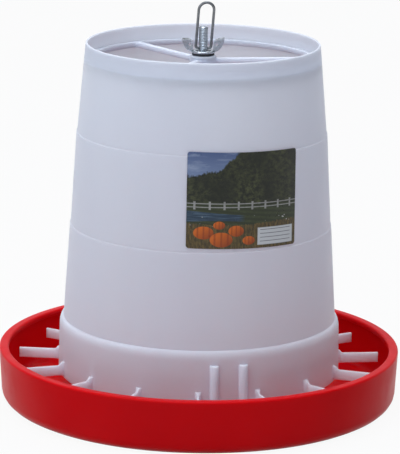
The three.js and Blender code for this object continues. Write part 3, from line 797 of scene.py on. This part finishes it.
def makeWingNut():
    wing = {"flange": 10.5, "flangeHeight": 2.2, "flangeEdge": 0.6, "slope": 9.4, "slopeDrop": 0.1,
            "boss": 8.0, "bossRise": 0.3, "thickness": 1.8, "edge": 0.45, "holeReach": 11.6,
            "holeHeight": 7.3, "holeRadius": 1.3, "holeLength": 6, "dish": 0.035, "dishFrom": 9.0}
    blade = ((8.3, 0.6, 0), (10.3, 0.6, 0.4), (12.9, 1.5, 0.9), (15.2, 3.5, 1.1), (17.0, 6.2, 1.1),
             (18.1, 9.4, 1.1), (18.8, 13.0, 0.5), (14.8, 12.8, 1.0), (11.2, 12.1, 1.2), (9.4, 9.6, 1.0),
             (8.9, 5.6, 0.8), (8.6, wing["flangeHeight"], 0))  # reach, rise and corner rounding in mm
    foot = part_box("wing_nut")[0].z / mm
    collar = foot + wing["flangeHeight"]
    boss = collar + wing["bossRise"]
    bm = revolve([(clearBore, foot, 0.3), (wing["flange"], foot, 0.6),
                  (wing["flange"], collar - wing["flangeEdge"], 0.5),
                  (wing["slope"], collar - wing["slopeDrop"], 0.3), (wing["boss"], boss, 0.4),
                  (clearBore, boss, 0.3)], 96)
    outline = [(reach, foot + rise, rounding) for reach, rise, rounding in blade]
    holePlace = (wing["holeReach"], 0, foot + wing["holeHeight"])
    for angle in (0, 180):
        side = plateFrom(outline, wing["thickness"])
        hole = roundBar(wing["holeRadius"], wing["holeLength"], holePlace, (0, 1, 0), 28)
        side = combine(side, hole, "DIFFERENCE")
        softenEdges(side, wing["edge"], 3, 40)
        bmesh.ops.triangulate(side, faces=[face for face in side.faces if len(face.verts) > 4])
        for vertex in side.verts:  # the stamped wings are slightly dished
            vertex.co.y += wing["dish"] * (vertex.co.x / mm - wing["dishFrom"]) ** 2 * mm
        tidyMesh(side)
        bm = combine(bm, turnBy(side, angle), "UNION")
    makePiece("stampedWingNut", bm, "wing_nut", zincPlate, ["wing_nut"], 35)


def makeBail():
    bail = {"wire": 1.2, "legOffset": 6.65, "height": 41.1, "bend": 1.8, "endInset": 1.2, "lean": 4.0,
            "bendSteps": 8, "crownSteps": 24}
    crown = bail["height"] - bail["wire"] - bail["legOffset"]
    half = [(bail["endInset"], 0.0)]
    for step in range(bail["bendSteps"] + 1):
        angle = math.radians(-90 + step * 90 / bail["bendSteps"])
        half.append((bail["legOffset"] - bail["bend"] + bail["bend"] * math.cos(angle),
                     bail["bend"] + bail["bend"] * math.sin(angle)))
    route = half[:]
    for step in range(bail["crownSteps"] + 1):
        angle = math.pi * step / bail["crownSteps"]
        route.append((bail["legOffset"] * math.cos(angle), crown + bail["legOffset"] * math.sin(angle)))
    route += [(-x, z) for x, z in reversed(half)]
    lean = math.tan(math.radians(bail["lean"]))
    curve = bpy.data.curves.new("bailRoute", "CURVE")
    curve.dimensions = "3D"
    curve.bevel_depth = bail["wire"] * mm
    curve.bevel_resolution = 6
    curve.use_fill_caps = True
    line = curve.splines.new("POLY")
    line.points.add(len(route) - 1)
    for point, (x, z) in zip(line.points, route):
        point.co = ((x + z * lean) * mm, 0, (rod["holeHeight"] + z) * mm, 1)
    holder = bpy.data.objects.new("bailRoute", curve)
    mesh = bpy.data.meshes.new_from_object(holder)
    bm = bmesh.new()
    bm.from_mesh(mesh)
    bpy.data.objects.remove(holder)
    bpy.data.curves.remove(curve)
    bpy.data.meshes.remove(mesh)
    tidyMesh(bm)
    makePiece("wireBail", bm, "hanging_bail", bailWire, ["hanging_bail"], 50)


makeRod()
makeWasher("coneWasher", "cone_washer", "feed_pan", dullZinc, 0.25)
makeWasher("panWasher", "pan_washer", "feed_pan", dullZinc, 0.25)
makeWasher("hubWasher", "hub_washer", "hopper", dullZinc, 0.25)
makeWasher("rubberSeal", "rubber_washer", "hopper", blackRubber, 0.5)
makeHexNut("coneNut", "cone_nut", "feed_pan")
makeHexNut("panNut", "pan_nut", "feed_pan")
makeHexNut("hubNut", "hub_nut", "hub_nut")
makeWingNut()
makeBail()
print("hardware made")


# Label: a thin printed sheet that follows the tube

def makeLabel():
    label = {"width": 97.8, "height": 82.4, "foot": 163.2, "thickness": 0.3, "corner": 2.3, "middle": -70.4,
             "askew": 1.4, "gap": 0.15, "across": 40, "upward": 34}

    def wallRadius(height):
        share = (height - hopper["middleStart"]) / (hopper["upperStart"] - hopper["middleStart"])
        return hopper["middleBand"] + (hopper["upperBand"] + hopper["ledge"] - hopper["middleBand"]) * share

    bm = bmesh.new()
    bmesh.ops.create_grid(bm, x_segments=label["across"], y_segments=label["upward"], size=0.5 * mm)
    bmesh.ops.scale(bm, verts=bm.verts[:], vec=(label["width"], label["height"], 1))
    ends = [vertex for vertex in bm.verts if len(vertex.link_edges) == 2]
    bmesh.ops.bevel(bm, geom=ends, affect="VERTICES", offset=label["corner"] * mm, offset_type="OFFSET",
                    segments=6, profile=0.5, material=-1)
    mapLayer = bm.loops.layers.uv.new("labelMap")
    for face in bm.faces:
        for loop in face.loops:
            loop[mapLayer].uv = (loop.vert.co.x / (label["width"] * mm) + 0.5,
                                 loop.vert.co.y / (label["height"] * mm) + 0.5)
    turnBy(bm, -label["askew"])
    for vertex in bm.verts:
        side, height = vertex.co.x / mm, label["foot"] + vertex.co.y / mm + label["height"] / 2
        radius = wallRadius(height) + label["gap"]
        angle = math.radians(label["middle"]) + math.asin(side / radius)
        vertex.co = (radius * mm * math.cos(angle), radius * mm * math.sin(angle), height * mm)
    bmesh.ops.recalc_face_normals(bm, faces=bm.faces[:])
    outwards = sum(face.normal.dot(face.calc_center_median()) for face in bm.faces)
    if outwards < 0:  # the print faces away from the tube before the sheet gets its thickness
        bmesh.ops.reverse_faces(bm, faces=bm.faces[:])
    bmesh.ops.solidify(bm, geom=bm.faces[:], thickness=-label["thickness"] * mm)
    bmesh.ops.recalc_face_normals(bm, faces=bm.faces[:])
    makePiece("printedLabel", bm, "hopper", labelFilm, ["front_label"], 60)


makeLabel()
print("label made")


# Stage: floor, backdrop light, lamps and camera

def makeStage():
    stage = {"size": 30.0, "drop": 0.0002, "floor": (0.50, 0.505, 0.515), "roughness": 0.9,
             "whiteShare": 0.93}
    bm = bmesh.new()
    bmesh.ops.create_grid(bm, x_segments=1, y_segments=1, size=stage["size"] / 2)
    bmesh.ops.translate(bm, verts=bm.verts[:], vec=(0, 0, -stage["drop"]))  # just clear of the pan's foot
    mesh = bpy.data.meshes.new("floor")
    bm.to_mesh(mesh)
    bm.free()
    floor = bpy.data.objects.new("floor", mesh)
    bpy.context.scene.collection.objects.link(floor)
    material, tree, shader = startMaterial("paleFloor", stage["floor"], stage["roughness"])
    glow = nodeWith(tree, "ShaderNodeEmission")
    glow.inputs["Color"].default_value = (1, 1, 1, 1)
    mix = nodeWith(tree, "ShaderNodeMixShader")
    paths = nodeWith(tree, "ShaderNodeLightPath").outputs
    seen = reckon(tree, "MAXIMUM", paths["Is Camera Ray"],
                  reckon(tree, "MAXIMUM", paths["Is Glossy Ray"], paths["Is Transmission Ray"]))
    tree.links.new(times(tree, seen, stage["whiteShare"]), mix.inputs[0])
    tree.links.new(shader.outputs[0], mix.inputs[1])
    tree.links.new(glow.outputs[0], mix.inputs[2])
    tree.links.new(mix.outputs[0], tree.nodes["Material Output"].inputs[0])
    mesh.materials.append(material)


def makeWorld():  # a soft sky, brightest overhead, behind and to the front left, over a white sweep
    room = {"overhead": ((0, 0, 1), 1.5, 0.86), "behind": ((0, 1, 1), 3, 0.82),
            "frontLeft": ((-0.85, -1, 0.6), 3, 0.48), "tint": (0.96, 0.99, 1.08), "sweep": (0.04, 0.14)}
    world = bpy.data.worlds.new("softRoom")
    world.use_nodes = True
    bpy.context.scene.world = world
    tree = world.node_tree
    sky = tree.nodes["Background"]
    outlook = placeOn(tree, "Generated")

    def glowTowards(direction, power, strength):
        ahead = reckon(tree, "MAXIMUM", alignment(tree, outlook, Vector(direction).normalized()), 0.0)
        return times(tree, reckon(tree, "POWER", ahead, power), strength)

    level = reckon(tree, "ADD", glowTowards(*room["overhead"]), glowTowards(*room["behind"]))
    level = reckon(tree, "ADD", level, glowTowards(*room["frontLeft"]))
    paths = nodeWith(tree, "ShaderNodeLightPath").outputs
    mirrored = reckon(tree, "MAXIMUM", paths["Is Glossy Ray"], paths["Is Transmission Ray"])
    sweep = spread(tree, partsOf(tree, outlook)["Z"], *room["sweep"], 1.0, 0.0, smooth=True)
    seen = reckon(tree, "MAXIMUM", paths["Is Camera Ray"], times(tree, mirrored, sweep))
    strength = nodeWith(tree, "ShaderNodeMix", data_type="FLOAT")
    tree.links.new(seen, strength.inputs[0])
    tree.links.new(level, strength.inputs[2])
    strength.inputs[3].default_value = 1.0
    tree.links.new(strength.outputs[0], sky.inputs["Strength"])
    tree.links.new(blendColours(tree, seen, room["tint"], (1, 1, 1)), sky.inputs["Color"])


def addLamp(name, place, size, power, colour):
    aim = (0, 0, 0.15)
    lamp = bpy.data.lights.new(name, "AREA")
    lamp.shape = "DISK"
    lamp.size = size
    lamp.energy = power
    lamp.color = colour
    holder = bpy.data.objects.new(name, lamp)
    holder.location = place
    holder.rotation_mode = "QUATERNION"
    holder.rotation_quaternion = (Vector(aim) - Vector(place)).to_track_quat("-Z", "Y")
    bpy.context.scene.collection.objects.link(holder)


def addCamera():
    view = {"back": 2.3819, "height": 0.7345, "yaw": -0.012, "pitch": 13.672, "roll": 0.850, "lens": 219.50,
            "sensor": 36}
    yaw, pitch, roll = (math.radians(view[name]) for name in ("yaw", "pitch", "roll"))
    forward = Vector((math.sin(yaw) * math.cos(pitch), math.cos(yaw) * math.cos(pitch), -math.sin(pitch)))
    level = Vector((math.cos(yaw), -math.sin(yaw), 0))
    upright = level.cross(forward)
    right = level * math.cos(roll) + upright * math.sin(roll)
    upward = upright * math.cos(roll) - level * math.sin(roll)
    camera = bpy.data.cameras.new("photoCamera")
    camera.lens = view["lens"]
    camera.sensor_width = view["sensor"]
    camera.clip_start = 0.05
    camera.clip_end = 60
    holder = bpy.data.objects.new("photoCamera", camera)
    turn = Matrix((right, upward, -forward)).transposed().to_4x4()
    holder.matrix_world = Matrix.Translation((0, -view["back"], view["height"])) @ turn
    bpy.context.scene.collection.objects.link(holder)
    bpy.context.scene.camera = holder


makeStage()
makeWorld()
addLamp("overheadLamp", place=(-0.2, -0.1, 2.6), size=1.4, power=28, colour=(0.79, 0.88, 1.0))
addLamp("leftLamp", place=(-1.5, -1.8, 1.2), size=1.2, power=10.5, colour=(0.79, 0.89, 1.0))
addCamera()
bpy.context.scene.view_settings.view_transform = "Standard"
print("stage, lamps and camera set")
